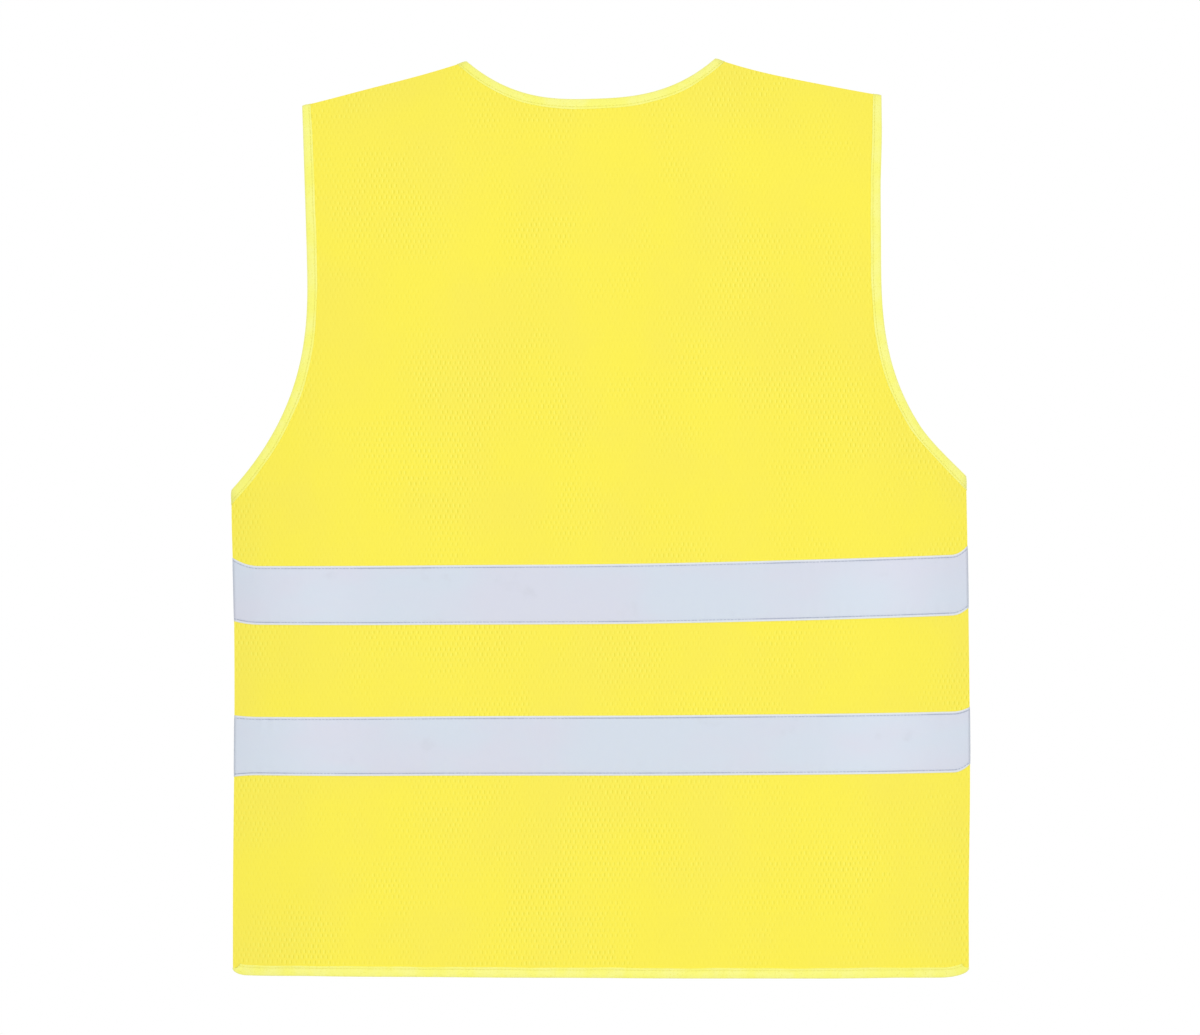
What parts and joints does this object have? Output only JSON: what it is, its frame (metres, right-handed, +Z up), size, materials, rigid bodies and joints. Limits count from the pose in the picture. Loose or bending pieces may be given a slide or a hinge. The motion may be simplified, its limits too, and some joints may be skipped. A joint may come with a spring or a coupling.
{
  "type": "high visibility vest",
  "caption": "Sleeveless fluorescent yellow mesh safety vest with reflective tapes, bound edges and a V neck front that folds open on a hook and loop closure.",
  "frame": {"origin": "middle of the line between the two neck points, at the top of the shoulder seams", "axes": "+Z up along the body, +X to the right of someone who looks at the back, the back faces -Y and the front faces +Y"},
  "size_m": [0.616, 0.0752, 0.77],
  "materials": {
    "mesh": "matt knitted polyester mesh, fluorescent yellow",
    "binding": "woven binding tape with a slight sheen, lemon yellow",
    "reflective_tape": "glass-bead retroreflective tape, silver grey",
    "hook": "moulded nylon hooks on a woven ground",
    "loop": "brushed nylon loops",
    "label": "smooth white satin, blank",
    "seam": "overlocked thread, lemon yellow"
  },
  "bodies": {
    "vest": {"back_panel": "mesh", "front_left_panel": "mesh", "front_right_panel": "mesh", "neck_binding": "binding", "armhole_binding_left": "binding", "armhole_binding_right": "binding", "hem_binding": "binding", "upper_tape_back": "reflective_tape", "upper_tape_left_side": "reflective_tape", "upper_tape_right_side": "reflective_tape", "lower_tape_back": "reflective_tape", "lower_tape_left_side": "reflective_tape", "lower_tape_right_side": "reflective_tape", "shoulder_seam_left": "seam", "shoulder_seam_right": "seam", "side_seam_left": "seam", "side_seam_right": "seam"},
    "outer_front": {"front_left_flap": "mesh", "front_edge_binding_left": "binding", "hem_binding_flap_left": "binding", "upper_tape_left_flap": "reflective_tape", "lower_tape_left_flap": "reflective_tape", "hook_patch_upper": "hook", "hook_patch_lower": "hook"},
    "inner_front": {"front_right_flap": "mesh", "front_edge_binding_right": "binding", "hem_binding_flap_right": "binding", "upper_tape_right_flap": "reflective_tape", "lower_tape_right_flap": "reflective_tape", "loop_patch_upper": "loop", "loop_patch_lower": "loop"},
    "labels": {"care_label": "label", "size_tab": "label"}
  },
  "joints": [
    {"name": "outer_front_fold", "type": "hinge", "parent": "vest", "child": "outer_front", "pos_m": [-0.17, 0.0398, -0.77], "axis": [0.1577, 0, 0.9875], "range_deg": [0, 170]},
    {"name": "inner_front_fold", "type": "hinge", "parent": "vest", "child": "inner_front", "pos_m": [0.17, 0.0358, -0.77], "axis": [0.1577, 0, -0.9875], "range_deg": [0, 102]},
    {"name": "label_flip", "type": "hinge", "parent": "vest", "child": "labels", "pos_m": [0, -0.02545, -0.043], "axis": [1, 0, 0], "range_deg": [0, 150]}
  ],
  "couplings": [
    {"joint": "inner_front_fold", "follows": "outer_front_fold", "ratio": 0.6}
  ]
}
